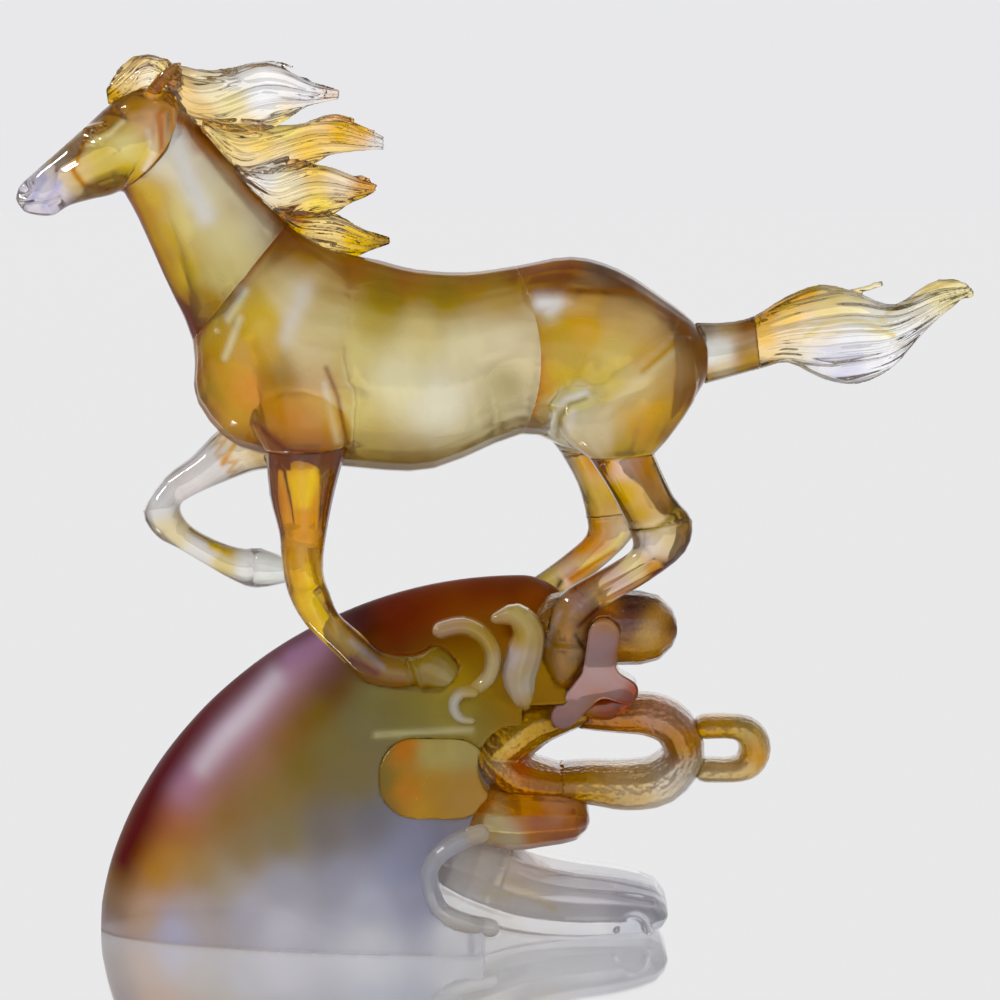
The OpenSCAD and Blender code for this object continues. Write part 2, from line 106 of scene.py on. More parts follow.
FOOT_STREAKS = [("#ECD0A0", 1.6, (-3, 18), (9, 18), (18, 13)), ("#E4C49C", 1.2, (-2, 22), (8, 21))]
MIDDLE_TINT_AND_HIGHLIGHTS = [
    # The pale yellow spots at (-1, 39) and (4, 33) and the pink one at (20, 45) are painted highlights.
    (-6, 46, "#E88428"), (-1, 39, "#F8E498"), (4, 33, "#FAEEC0"), (8, 44, "#E89430"),
    (12, 40, "#D8701C"), (20, 45, "#E8A888"), (24, 38, "#E08434"), (24, 31, "#D0640C"),
    (12, 26, "#C45A0C"), (29, 38, "#A04A14"), (14, 34, "#DC7C20"), (-6, 30, "#E0B050"),
]
HOOK_TINT = [
    (24, 70, "#C08830"), (14, 66, "#D09A34"), (4, 66, "#D8B050"), (-2, 60, "#E4C470"),
    (-6, 54, "#ECD8C0"), (8, 56, "#D8601C"), (2, 52, "#E4983C"), (12, 49, "#D88828"),
    (18, 48, "#CC882C"), (14, 58, "#D0A048"),
]
LOOP_TINT = [
    (22, 46, "#DC9C30"), (30, 43, "#E0AC50"), (45, 49, "#E0C084"), (55, 49, "#ECDCC0"),
    (66, 54, "#E0D0A8"), (62, 47, "#E8E4DC"), (60, 62, "#CC8028"), (50, 73, "#CC9474"),
    (61, 72, "#A87858"), (44, 65, "#C07024"), (36, 70, "#C87C40"), (30, 66, "#BC6C20"),
]
RING_TINT = [
    (70, 67, "#DCA83C"), (82, 68, "#C8AC60"), (84, 58, "#DC9C34"), (80, 51, "#E4C488"),
    (70, 51, "#E8CC94"), (88, 60, "#B4A888"),
]
RED_TINT = [(28, 74, "#E09028"), (35, 74, "#CC5C10"), (42, 77, "#B04818")]
STAR_TINT_AND_HIGHLIGHT = [
    # The mauve-pink spots in the middle of the star are a painted soft highlight; the orange-brown edges
    # are its colour.
    (34, 95, "#C8A4A8"), (36, 103, "#E0A060"), (32, 86, "#CCA8A4"), (38, 82, "#C8A09C"),
    (44, 79, "#A8481C"), (42, 76, "#A83C10"), (26, 78, "#CCA09C"), (20, 70, "#BC8C8C"),
    (40, 92, "#C07848"), (32, 75, "#C88458"),
]
KNOB_TINT = [
    (12, 100, "#D8A040"), (24, 100, "#D8A850"), (34, 104, "#C88040"), (44, 107, "#341420"),
    (42, 101, "#5A2828"), (52, 104, "#B08040"), (48, 96, "#CCA460"), (46, 89, "#C88C20"),
    (54, 93, "#B07818"), (57, 99, "#6A3A10"), (48, 109, "#5A3418"),
]
CREST_TINT_AND_HIGHLIGHT = [
    (1, 105, "#E8C480"), (8, 107, "#F4E080"), (14, 108, "#F0D878"), (12, 100, "#F4D87C"),
    # The lavender-white spot at (4, 91) is a painted highlight.
    (7, 98, "#E4B44C"), (4, 91, "#F8F0F8"), (8, 88, "#DCC080"), (12, 84, "#ECECD8"),
    (13, 77, "#D4A848"),
]
CURL_TINT_AND_HIGHLIGHT = [
    (-18, 102, "#D0A474"), (-4, 96, "#DCB050"), (-1, 88, "#ECD898"), (-8, 79, "#DCBC60"),
    # The near-white spot at (-13, 76) is a painted highlight on the curl.
    (-13, 76, "#F4F0E4"), (-6, 71, "#E0C880"),
]
CLEAR_TINT = [(-5, 38, "#E8D4B0"), (-14, 34, "#ECECF4"), (-21, 22, "#E0E2EE"), (-10, 10, "#ECEAE0")]
HEAD_TINT = [
    (-152, 234, "#EEEAF0"), (-144, 232, "#E4DCE4"), (-146, 240, "#E6E2F0"), (-140, 246, "#E4D8D0"),
    (-134, 252, "#DCC098"), (-132, 242, "#E8C880"), (-126, 263, "#6A3A10"), (-122, 260, "#9A5A18"),
    (-124, 250, "#DCC468"), (-117, 252, "#E4D488"), (-117, 244, "#C8A030"), (-112, 250, "#D8BC58"),
    (-110, 258, "#DCA878"), (-116, 266, "#B87A28"), (-124, 240, "#C89C2C"), (-114, 241, "#B88418"),
    (-104, 270, "#C88034"), (-104, 278, "#D8A450"), (-140, 236, "#DCD0D8"),
]
HEAD_LINES_AND_HIGHLIGHTS = [
    ("#B0580C", 1.3, (-107, 262), (-105.4, 251), (-107.5, 246), (-112.3, 240.8), (-120, 238)),
    # A painted highlight: the pale pink line inside the jaw arc.
    ("#F2DCD4", 1.0, (-110, 257), (-108.6, 250), (-111, 245)),
    ("#C07418", 1.0, (-129, 256), (-134, 245), (-130.6, 240), (-123, 238)),
    ("#6E3C0C", 0.8, (-130, 257), (-126, 256), (-121, 259)),
    # A painted highlight: the pale yellow line beside the eye.
    ("#F8E8B0", 0.9, (-128, 253), (-122, 256), (-118, 260)),
    ("#B8B4D8", 0.9, (-148, 234), (-143, 242)), ("#B8B4D8", 0.8, (-144, 233), (-138, 241)),
    ("#B8A488", 0.7, (-127, 262.5), (-135.3, 255.4), (-143.3, 249), (-150.4, 241.8)),
]
FORELOCK_TINT = [
    (-122, 268, "#B87828"), (-119, 274, "#E8BC70"), (-114, 279, "#DCA458"), (-110, 274, "#F4E4C0"),
    (-106, 276, "#ECC468"), (-104, 268, "#ECCC80"), (-112, 268, "#D09848"),
]
NECK_TINT = [
    (-104, 262, "#E0B468"), (-92, 252, "#B8682C"), (-76, 238, "#A85C1C"), (-68, 230, "#8A4A10"),
    (-100, 248, "#F0E4B8"), (-94, 236, "#E8DCA0"), (-84, 222, "#E8D890"), (-86, 212, "#DCC878"),
    (-110, 236, "#D8B048"), (-104, 224, "#C89C30"), (-100, 212, "#D0A83C"), (-92, 202, "#B8842C"),
    (-98, 228, "#E8D484"), (-114, 232, "#B04408"), (-108, 214, "#8A2A06"), (-100, 198, "#6E2004"),
    (-96, 190, "#5E1A06"), (-78, 226, "#F0E4B8"), (-106, 252, "#F0ECDC"),
]
NECK_BANDS_AND_HIGHLIGHTS = [
    # The first two streaks are painted highlights: white gleams down the neck.
    ("#F8F4EC", 3.2, (-103, 258), (-98.5, 244), (-92, 230)),
    ("#F8ECC4", 2.2, (-94, 248), (-83, 236), (-73, 226)),
    ("#A4500C", 2.4, (-104, 263), (-89, 253), (-75.6, 240.2), (-67, 231.5)),
    ("#862A06", 4.0, (-119, 237), (-114, 228), (-107.4, 213), (-101, 198), (-96, 189)),
    ("#B8842C", 1.8, (-113, 236), (-108, 224), (-101, 206)),
]
FRONT_TINT = [
    (-66, 226, "#8A4A10"), (-58, 220, "#96560C"), (-46, 214, "#B4661C"), (-28, 211, "#B8700C"),
    (-8, 210, "#B4741C"), (6, 212, "#9A5210"), (-90, 196, "#B89444"), (-84, 206, "#C09A50"),
    (-97, 180, "#8A3A0C"), (-92, 166, "#A85C14"), (-82, 157, "#B06A18"), (-90, 176, "#B48C2C"),
    (-84, 166, "#C89430"), (-73, 196, "#E4B82C"), (-77, 176, "#E48C10"), (-76, 186, "#D89C1C"),
    (-66, 179, "#8A5A04"), (-64, 168, "#C07418"), (-57, 160, "#B86814"), (-56, 175, "#E0B478"),
    (-60, 187, "#F2DCA0"), (-64, 204, "#E8D8A0"), (-52, 210, "#D0A860"), (-52, 196, "#ECD890"),
    (-70, 156, "#A45418"), (-45, 187, "#ECD880"), (-46, 170, "#E4D078"), (-39, 196, "#BCA044"),
    (-35, 204, "#8A6A10"), (-16, 204, "#9A741C"), (2, 205, "#B88C40"), (-31, 179, "#FAF0BC"),
    (-10, 188, "#FCEFB8"), (-18, 171, "#F8F2D4"), (-41, 158, "#B89A50"), (-27, 153, "#B09050"),
    (-4, 166, "#CCBC84"), (4, 178, "#AA9C64"), (3, 190, "#F6E6B4"), (10, 184, "#F0DCA8"),
    (8, 170, "#E8D8A8"), (-12, 155, "#C8B070"), (-24, 192, "#F0DC90"),
]
FRONT_LINES_AND_HIGHLIGHTS = [
    ("#7A3A10", 1.4, (-67, 226), (-75.3, 216), (-79.4, 210.5), (-89.5, 201.5), (-95, 190)),
    # The two white streaks below are painted glints on the front of the shoulder.
    ("#FFFFFF", 1.3, (-79.4, 206.5), (-84.5, 198)), ("#FFFFFF", 1.2, (-81, 198), (-85.5, 186)),
    ("#6E3414", 0.9, (-53.5, 183), (-50, 174), (-47.6, 162), (-46.8, 156)),
    # A painted highlight beside the dark line at the back of the shoulder.
    ("#F6ECD4", 1.1, (-54, 178), (-52, 169), (-50, 160)),
    ("#7A2A08", 1.1, (-76, 165), (-66, 157), (-52, 156)),
    # A broad painted highlight on the shoulder.
    ("#F0E4CC", 3.0, (-61, 207), (-66, 192)),
]
HIND_TINT = [
    (12, 213, "#96460E"), (22, 215, "#90420E"), (34, 214, "#5A4030"), (44, 209, "#5A2E0A"),
    (54, 202, "#5A3C28"), (62, 194, "#6A4020"), (67, 186, "#8A4A10"), (64, 172, "#96540C"),
    (56, 161, "#8A5408"), (10, 204, "#A8842C"), (28, 202, "#E0B478"), (38, 200, "#DCAC74"),
    (48, 196, "#DCB078"), (28, 196, "#F0A828"), (20, 190, "#CCA020"), (24, 182, "#CCA438"),
    (38, 188, "#E4C468"), (48, 186, "#D8A050"), (36, 178, "#D0B450"), (46, 176, "#E4C884"),
    (56, 182, "#D8A868"), (50, 170, "#D89838"), (46, 162, "#C88820"), (24, 172, "#D8D490"),
    (22, 164, "#E2DEBC"), (32, 162, "#D8C498"), (30, 156, "#C4B090"), (40, 157, "#B08820"),
    (12, 178, "#C87818"), (14, 190, "#C08830"),
]
HIND_LINES_AND_HIGHLIGHTS = [
    ("#783210", 1.2, (6.5, 214), (8, 202), (12, 194)),
    ("#B85A10", 1.4, (14, 186), (13, 176), (11, 168)),
    ("#8A4A10", 1.6, (9, 207), (23, 207), (44, 206), (57, 197), (62, 191)),
    # Painted highlights: the white triangle on the hip, and below it the white arc and pale gleam at the
    # stifle.
    ("#FFFFFF", 2.6, (14, 203), (19, 203), (17, 200)),
    ("#FFFFFF", 1.2, (28, 175), (22, 173), (18, 168), (17, 162)),
    ("#8A7420", 0.8, (28, 173.5), (23, 171.5), (20, 167), (19.4, 160)),
    ("#F4ECE8", 1.4, (24, 169), (22, 162)),
    # The cream diagonal is a painted highlight on the quarter; the amber line after it is not.
    ("#ECD498", 1.8, (55, 187), (44, 178), (33, 168)), ("#B87C28", 1.0, (56, 190), (46, 182)),
]
FORELEG_TINT = [
    (-70, 156, "#AC500C"), (-60, 157, "#984008"), (-50, 157, "#C0680C"), (-60, 146, "#E8B038"),
    (-70, 142, "#B05C10"), (-54, 142, "#B86810"), (-60, 132, "#CC8018"), (-66, 120, "#C47C18"),
    (-60, 120, "#DC9824"), (-56, 114, "#DCA438"), (-60, 106, "#E0A838"), (-50, 96, "#E8BC4C"),
    (-40, 88, "#DC9C28"), (-32, 84, "#DCA428"), (-24, 86, "#E0BC3C"), (-14, 84, "#E4CC68"),
]
FORELEG_LINES_AND_HIGHLIGHTS = [
    ("#6E2404", 1.2, (-73, 154), (-71, 142), (-69, 130)),
    ("#6E2404", 1.2, (-49, 154), (-53, 136), (-54, 120)),
    # Painted highlights: the bright yellow streaks down the middle of the leg.
    ("#F4C840", 1.4, (-58, 150), (-60, 140)), ("#F4CC50", 1.3, (-60, 120), (-58, 108), (-50, 97)),
    # The white streak on the line below is a painted highlight near the hoof; the brown line before it is
    # not.
    ("#7A3408", 1.0, (-54, 108), (-44, 97), (-37, 92)), ("#F0ECE8", 0.8, (-46, 96), (-36, 88)),
    ("#A03C08", 1.6, (-46, 90), (-38, 86)),
]
FAR_FORELEG_TINT = [
    (-76, 160, "#D0A860"), (-84, 156, "#E8D4B0"), (-92, 152, "#E4E0DC"), (-100, 144, "#EAE2DE"),
    (-110, 138, "#DCDAD8"), (-106, 126, "#E4D0A0"), (-96, 119, "#EEEAE6"), (-88, 116, "#E0C880"),
    (-80, 115, "#F0F0EC"), (-70, 114, "#E8ECE4"),
]
FAR_FORELEG_STREAKS = [
    ("#5A5048", 0.9, (-89, 161), (-98, 152), (-107, 145)), ("#C87C20", 0.9, (-83, 158), (-88, 150)),
    ("#C89C40", 1.0, (-102, 134), (-98, 128), (-90, 123)), ("#8A8078", 0.8, (-113, 132), (-103, 122)),
    ("#DCA020", 1.3, (-92, 123), (-86, 121)),
]
HIND_LEG_TINT_AND_HIGHLIGHTS = [
    (34, 153, "#C87010"), (42, 153, "#ECC8B4"), (48, 152, "#E09C20"), (40, 144, "#C89430"),
    (52, 144, "#D8A868"), (46, 136, "#B8842C"), (56, 138, "#806010"), (50, 132, "#DCC088"),
    # The near-white spot at (48, 127) is a painted highlight on the hock.
    (48, 127, "#F0E4D8"), (56, 128, "#D8C088"), (60, 130, "#B07818"), (44, 120, "#E0C888"),
    # The pinkish spot at (26, 108) is a painted highlight on the fetlock.
    (38, 114, "#D0AC98"), (50, 119, "#C87818"), (32, 110, "#D8AC48"), (26, 108, "#D0A8B0"),
    (26, 104, "#C88C2C"), (20, 106, "#F0CC70"), (20, 96, "#ECAC40"), (20, 88, "#E0A43C"),
    (26, 94, "#ECC890"), (20, 82, "#D89C3C"), (24, 140, "#B8A048"), (28, 126, "#E07810"),
    (24, 134, "#C09C38"), (22, 148, "#D8C898"), (14, 110, "#C8AC50"),
]
HIND_LEG_LINES_AND_HIGHLIGHTS = [
    ("#6E1C04", 1.6, (63, 132), (59, 123), (50, 117)), ("#5A4808", 1.0, (50, 152), (57, 139)),
    # On the line below, the pale yellow streak is a painted highlight down the hock and cannon.
    ("#7A5A10", 0.9, (42, 131), (50, 132), (57, 136)), ("#F4DC80", 1.1, (41, 127), (36, 121), (28, 116)),
    # On the line below, the white streak is a painted highlight beside the dark outline of the cannon.
    ("#A85410", 1.1, (38, 121), (30, 116), (24, 112)), ("#FFFFFF", 0.9, (20, 105), (17, 98), (16, 95)),
    ("#2E1A0C", 0.7, (21, 111), (17.5, 106), (16.4, 100)), ("#4A3C14", 0.8, (25, 98), (29, 91), (24, 84)),
    ("#6A1C0C", 1.0, (34, 108), (26, 101)),
]
DOCK_TINT = [
    (66, 194, "#8A7458"), (68, 186, "#EEF0EC"), (72, 188, "#E8E8DC"), (74, 194, "#C89850"),
    (79, 195, "#7A3A08"), (78, 187, "#8A5C10"), (72, 181, "#E4CC98"), (78, 180, "#C08820"),
    (68, 179, "#B8801C"), (82, 182, "#A87418"),
]
TAIL_TINT = [
    (84, 199, "#E8901C"), (92, 204, "#F0A030"), (100, 206, "#F0A838"), (108, 206, "#F0C870"),
    (86, 192, "#E8B050"), (94, 198, "#F0C468"), (104, 202, "#F0D890"), (86, 186, "#E8C890"),
    (92, 190, "#EED8B0"), (100, 194, "#F4E4CC"), (112, 202, "#F0E0A8"), (96, 184, "#EEE8D0"),
    (104, 184, "#ECEAF2"), (114, 190, "#F4F4F8"), (112, 178, "#D8D6EC"), (124, 184, "#F2F2F8"),
    (122, 196, "#F0ECD8"), (132, 192, "#F2F2F4"), (132, 200, "#F0E8D0"), (142, 207, "#ECDCA0"),
    (152, 205, "#E8D8A0"),
]
TAIL_STREAKS = [
    ("#D8C070", 0.8, (98, 192), (104, 196), (110, 197), (118, 196), (126, 192)),
    ("#E88A10", 1.3, (82, 198), (92, 203.5), (100, 206)),
    ("#C8C8E0", 0.8, (100, 183), (107, 186), (116, 186)),
    ("#C8A860", 0.7, (124, 199), (131, 202), (138, 207), (146, 209)),
]
MANE_TINT = [
    (-100, 270, "#E4B068"), (-94, 262, "#DCA860"), (-90, 272, "#F0DCA8"), (-84, 266, "#ECD488"),
    (-84, 274, "#F4F2F0"), (-74, 268, "#F8F8FA"), (-60, 270, "#F4F0F4"), (-52, 270, "#E8CCB8"),
    (-84, 256, "#ECC068"), (-74, 252, "#F0BC58"), (-66, 258, "#ECC860"), (-60, 252, "#ECAC50"),
    (-50, 256, "#DC9440"), (-42, 258, "#D8903C"), (-36, 253, "#CCC8C0"), (-50, 248, "#F0D080"),
    (-72, 244, "#F0ECE4"), (-66, 240, "#ECD8A0"), (-58, 244, "#ECB050"), (-50, 240, "#F0D0A4"),
    (-42, 240, "#C8763C"), (-56, 234, "#ECC054"), (-44, 234, "#D89838"), (-64, 228, "#BC8030"),
    (-54, 226, "#ECC070"), (-44, 224, "#D89C38"), (-36, 222, "#8A5A20"),
]


# How much stronger the colours are than those in the lists
VIVID = 1.2


def track_gap2(points, track):
    """Squared distance in the X-Z plane, in metres, from each point to a track given in mm."""
    gaps = []
    for a, b in zip(track, track[1:]):
        start, run = np.array(a) * MM, (np.array(b) - np.array(a)) * MM
        rel = points[:, [0, 2]] - start
        t = np.clip(rel @ run / max(float(run @ run), 1e-12), 0, 1)
        gaps.append(((rel - t[:, None] * run) ** 2).sum(axis=1))
    return np.min(gaps, axis=0)


def paint(mesh, points, spots, streaks, soft_mm, layers):
    """Writes the blend of colour spots and streaks to the mesh's point colours.

    The spots give the colour that is seen, painted highlights included; layers is how many skins of glass
    share it."""
    xz = np.array([[s[0], s[1]] for s in spots]) * MM
    tints = np.array([srgb(s[2]) for s in spots])
    gap = ((points[:, None, 0] - xz[None, :, 0]) ** 2 + (points[:, None, 2] - xz[None, :, 1]) ** 2)
    softness = (soft_mm * MM) ** 2
    weight = 1 / (gap + softness) ** 2
    weight /= weight.sum(axis=1, keepdims=True)
    colour = np.ones((len(points), 4))
    colour[:, :3] = weight @ tints
    for tone, radius, *track in streaks:
        share = np.exp(-track_gap2(points, track) / (radius * MM) ** 2)[:, None]
        colour[:, :3] += share * (np.array(srgb(tone)) - colour[:, :3])
    grey = colour[:, :3].mean(axis=1, keepdims=True)
    colour[:, :3] = np.clip(grey + VIVID * (colour[:, :3] - grey), 0, 1) ** (1 / layers)
    layer = mesh.color_attributes.new("tint", "FLOAT_COLOR", "POINT")
    layer.data.foreach_set("color", colour.ravel())


# ---------------------------------------------------------------- meshes

def points_of(mesh):
    flat = np.empty(len(mesh.vertices) * 3)
    mesh.vertices.foreach_get("co", flat)
    return flat.reshape(-1, 3)


def put_points(mesh, points):
    mesh.vertices.foreach_set("co", points.ravel())
    mesh.update()


def normals_of(mesh):
    flat = np.empty(len(mesh.vertices) * 3)
    mesh.vertex_normals.foreach_get("vector", flat)
    return flat.reshape(-1, 3)


def remesh(mesh, voxel_mm):
    """One closed skin round everything in the mesh, with quads of about voxel_mm."""
    piece = bpy.data.objects.new("remesh", mesh)
    bpy.context.scene.collection.objects.link(piece)
    mod = piece.modifiers.new("remesh", "REMESH")
    mod.mode = "VOXEL"
    mod.voxel_size = voxel_mm * MM
    mod.use_smooth_shade = True
    graph = bpy.context.evaluated_depsgraph_get()
    done = bpy.data.meshes.new_from_object(piece.evaluated_get(graph))
    bpy.data.objects.remove(piece)
    drop_crumbs(done)
    return done


def drop_crumbs(mesh):
    """Removes loose crumbs that the voxel skin leaves beside the main body."""
    edges = np.empty(len(mesh.edges) * 2, dtype=np.int64)
    mesh.edges.foreach_get("vertices", edges)
    a, b = edges.reshape(-1, 2).T
    label = np.arange(len(mesh.vertices))
    while True:
        low = np.minimum(label[a], label[b])
        fresh = label.copy()
        np.minimum.at(fresh, label[a], low)
        np.minimum.at(fresh, label[b], low)
        fresh = fresh[fresh]
        if (fresh == label).all():
            break
        label = fresh
    crumbs = np.flatnonzero(label != np.bincount(label).argmax())
    if len(crumbs):
        body = bmesh.new()
        body.from_mesh(mesh)
        body.verts.ensure_lookup_table()
        bmesh.ops.delete(body, geom=[body.verts[i] for i in crumbs], context="VERTS")
        body.to_mesh(mesh)
        body.free()


def relax(mesh, passes, strength=0.5, shrink_back=-0.52):
    """Taubin smoothing: it rounds off facets and keeps the volume."""
    points = points_of(mesh)
    edges = np.empty(len(mesh.edges) * 2, dtype=np.int64)
    mesh.edges.foreach_get("vertices", edges)
    a, b = edges.reshape(-1, 2).T
    count = len(points)
    degree = np.maximum(np.bincount(a, minlength=count) + np.bincount(b, minlength=count), 1)
    for _ in range(passes):
        for step in (strength, shrink_back):
            total = np.empty_like(points)
            for k in range(3):
                total[:, k] = (np.bincount(a, points[b, k], count)
                               + np.bincount(b, points[a, k], count))
            points = points + step * (total / degree[:, None] - points)
    put_points(mesh, points)


# How fast a stroke fades from the sides of the horse to its top, and from one side to the other
FLANK_GAIN = 1.6
SIDE_GAIN = 4


def sculpt(mesh, strokes):
    """Raises or sinks the surface along strokes: (x0, z0, x1, z1, radius, height), all mm.

    A seventh value of -1 or 1 keeps a stroke to one side of the horse."""
    points = points_of(mesh)
    normals = normals_of(mesh)
    lift = np.zeros(len(points))
    flank = np.clip(np.abs(normals[:, 1]) * FLANK_GAIN, 0, 1)
    for stroke in strokes:
        x0, z0, x1, z1, radius, height, *side = stroke
        gap2 = track_gap2(points, [(x0, z0), (x1, z1)])
        part = height * MM * np.exp(-gap2 / (radius * MM) ** 2) * flank
        if side:
            part *= np.clip(side[0] * normals[:, 1] * SIDE_GAIN, 0, 1)
        lift += part
    put_points(mesh, points + normals * lift[:, None])


def from_parts(name, parts):
    """One mesh from a list of (points, faces)."""
    points, faces, base = [], [], 0
    for p, f in parts:
        points.extend(map(tuple, p))
        faces.extend([[i + base for i in face] for face in f])
        base += len(p)
    mesh = bpy.data.meshes.new(name)
    mesh.from_pydata(points, [], faces)
    mesh.update()
    return mesh


def tube(path, radii, sides):
    """Closed tapered tube along a path of points in metres."""
    path = np.asarray(path, dtype=float)
    along = np.gradient(path, axis=0)
    along /= np.maximum(np.linalg.norm(along, axis=1, keepdims=True), 1e-9)
    across = np.cross(along, [0, 1, 0])
    across /= np.maximum(np.linalg.norm(across, axis=1, keepdims=True), 1e-9)
    side = np.cross(across, along)
    turn = np.linspace(0, 2 * math.pi, sides, endpoint=False)
    radii = np.asarray(radii)[:, None, None]
    rings = (path[:, None] + radii * (np.cos(turn)[None, :, None] * across[:, None]
                                      + np.sin(turn)[None, :, None] * side[:, None]))
    count = len(path)
    faces = [[r * sides + i, r * sides + (i + 1) % sides,
              (r + 1) * sides + (i + 1) % sides, (r + 1) * sides + i]
             for r in range(count - 1) for i in range(sides)]
    faces.append(list(range(sides))[::-1])
    faces.append([(count - 1) * sides + i for i in range(sides)])
    return rings.reshape(-1, 3), faces


def cad_mesh(node):
    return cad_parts[node].data.copy()


def place(name, mesh, material, nodes, spots, streaks=(), soft_mm=3.0, layers=1.0):
    """Makes the piece that stands for CAD nodes, and gives it its colour, finish and body."""
    paint(mesh, points_of(mesh), spots, streaks, soft_mm, layers)
    mesh.materials.clear()
    mesh.materials.append(material)
    piece = bpy.data.objects.new(name, mesh)
    bpy.context.scene.collection.objects.link(piece)
    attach(piece, BODY)
    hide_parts(*nodes)


# ---------------------------------------------------------------- materials

# Cloudy streaks and bubbles per metre, and the depth of the waves and of the bubbles' pits
STREAKS_PER_M, BUBBLES_PER_M = 45, 600
WAVE_DEPTH, PIT_DEPTH = 0.5 * MM, 0.4 * MM
COAT_ROUGH = 0.02
# The streaks make the skin this much smoother or rougher
ROUGH_SWING = 0.3


def crystal(name, rough, coat, grain_mm, grain_depth, milk=0.0, streak=0.12, bubbles=0.0,
            shine=0.5, bend=1.5):
    """Coloured cast crystal: tinted by the point colours, with streaks, waves and bubbles.

    milk is the share of light that the frosted body scatters instead of passing on, and
    bend is the refractive index."""
    material = bpy.data.materials.new(name)
    material.use_nodes = True
    nodes, links = material.node_tree.nodes, material.node_tree.links
    shader = nodes["Principled BSDF"]
    shader.inputs["Transmission Weight"].default_value = 1 - milk
    shader.inputs["IOR"].default_value = bend
    shader.inputs["Specular IOR Level"].default_value = shine
    shader.inputs["Coat Weight"].default_value = coat
    shader.inputs["Coat Roughness"].default_value = COAT_ROUGH
    # The point colours hold the tint of the glass together with its painted highlights.
    tint = nodes.new("ShaderNodeAttribute")
    tint.attribute_name = "tint"
    where = nodes.new("ShaderNodeTexCoord")
    cloudy = nodes.new("ShaderNodeTexNoise")
    cloudy.inputs["Scale"].default_value = STREAKS_PER_M
    cloudy.inputs["Detail"].default_value = 3
    cloudy.inputs["Distortion"].default_value = 1.2
    links.new(where.outputs["Object"], cloudy.inputs["Vector"])
    level = nodes.new("ShaderNodeMapRange")
    level.inputs["From Min"].default_value = 0.3
    level.inputs["From Max"].default_value = 0.7
    level.inputs["To Min"].default_value = 1 - streak
    level.inputs["To Max"].default_value = 1 + streak
    links.new(cloudy.outputs["Fac"], level.inputs["Value"])
    shade = nodes.new("ShaderNodeHueSaturation")
    links.new(tint.outputs["Color"], shade.inputs["Color"])
    links.new(level.outputs["Result"], shade.inputs["Value"])
    links.new(shade.outputs["Color"], shader.inputs["Base Color"])
    gloss = nodes.new("ShaderNodeMapRange")
    gloss.inputs["To Min"].default_value = rough * (1 - ROUGH_SWING)
    gloss.inputs["To Max"].default_value = rough * (1 + ROUGH_SWING)
    links.new(cloudy.outputs["Fac"], gloss.inputs["Value"])
    links.new(gloss.outputs["Result"], shader.inputs["Roughness"])
    waves = nodes.new("ShaderNodeTexNoise")
    waves.inputs["Scale"].default_value = 1 / (grain_mm * MM)
    waves.inputs["Detail"].default_value = 2
    links.new(where.outputs["Object"], waves.inputs["Vector"])
    bump = nodes.new("ShaderNodeBump")
    bump.inputs["Strength"].default_value = grain_depth
    bump.inputs["Distance"].default_value = WAVE_DEPTH
    links.new(waves.outputs["Fac"], bump.inputs["Height"])
    last = bump
    if bubbles:
        cells = nodes.new("ShaderNodeTexVoronoi")
        cells.inputs["Scale"].default_value = BUBBLES_PER_M
        links.new(where.outputs["Object"], cells.inputs["Vector"])
        pits = nodes.new("ShaderNodeBump")
        pits.inputs["Strength"].default_value = bubbles
        pits.inputs["Distance"].default_value = PIT_DEPTH
        links.new(cells.outputs["Distance"], pits.inputs["Height"])
        links.new(bump.outputs["Normal"], pits.inputs["Normal"])
        last = pits
    links.new(last.outputs["Normal"], shader.inputs["Normal"])
    return material


BODY_GLASS = crystal("body_crystal", 0.17, 0.35, 25, 0.03, milk=0.33, streak=0.06)
POLISHED = crystal("polished_crystal", 0.08, 0.5, 25, 0.05, milk=0.2)
DOME = crystal("dome_crystal", 0.36, 0, 40, 0.03, milk=0.4, streak=0.05, shine=0.2, bend=1.3)
INLAY = crystal("inlay_crystal", 0.25, 0, 20, 0.05, milk=0.5, streak=0.08, shine=0.15)
STAR = crystal("star_crystal", 0.12, 0.3, 20, 0.05, milk=0.4, streak=0.05)
CLOUD = crystal("cloud_crystal", 0.07, 0.5, 12, 0.2, milk=0.4)
CLEAR = crystal("clear_crystal", 0.08, 0.5, 12, 0.15, milk=0.32, streak=0.05, bend=1.25)
CURL = crystal("curl_crystal", 0.06, 0.6, 12, 0.1, milk=0.45, streak=0.05, bend=1.35)
BUBBLY = crystal("bubbly_crystal", 0.12, 0.4, 5, 0.3, milk=0.4, streak=0.2, bubbles=0.6)
STRAND = crystal("strand_crystal", 0.04, 0.3, 8, 0.12, milk=0.05)


# ---------------------------------------------------------------- horse

# Muscles, folds and seams: strokes as sculpt takes them, all in mm
TRUNK_STROKES = [
    (-60, 216, -84, 186, 7, 1.4), (-46, 206, -46, 178, 5, -1.8), (-60, 172, -58, 166, 13, 2.6),
    (-90, 172, -84, 164, 8, 1.6), (-78, 190, -72, 164, 4, -1.3), (-43, 176, -45, 160, 3, -1.4),
    (-90, 192, -94, 176, 4, 1.2), (-2, 180, 2, 172, 10, -1.6), (-70, 200, -66, 184, 5, -0.9),
] + [(-34 + 7 * i, 198, -31 + 7 * i, 166, 2.4, 0.25) for i in range(5)]
HIND_STROKES = [
    (14, 206, 20, 206, 5, 1.6), (14, 196, 22, 200, 5, -1.2), (20, 176, 16, 160, 3, -1.8),
    (26, 168, 28, 162, 8, 1.8), (44, 186, 48, 176, 14, 2.2), (58, 198, 54, 164, 4, -1.1),
    (34, 206, 28, 182, 5, -0.9), (30, 176, 56, 194, 3, -0.8), (30, 174, 19, 171, 2, 1.1),
]
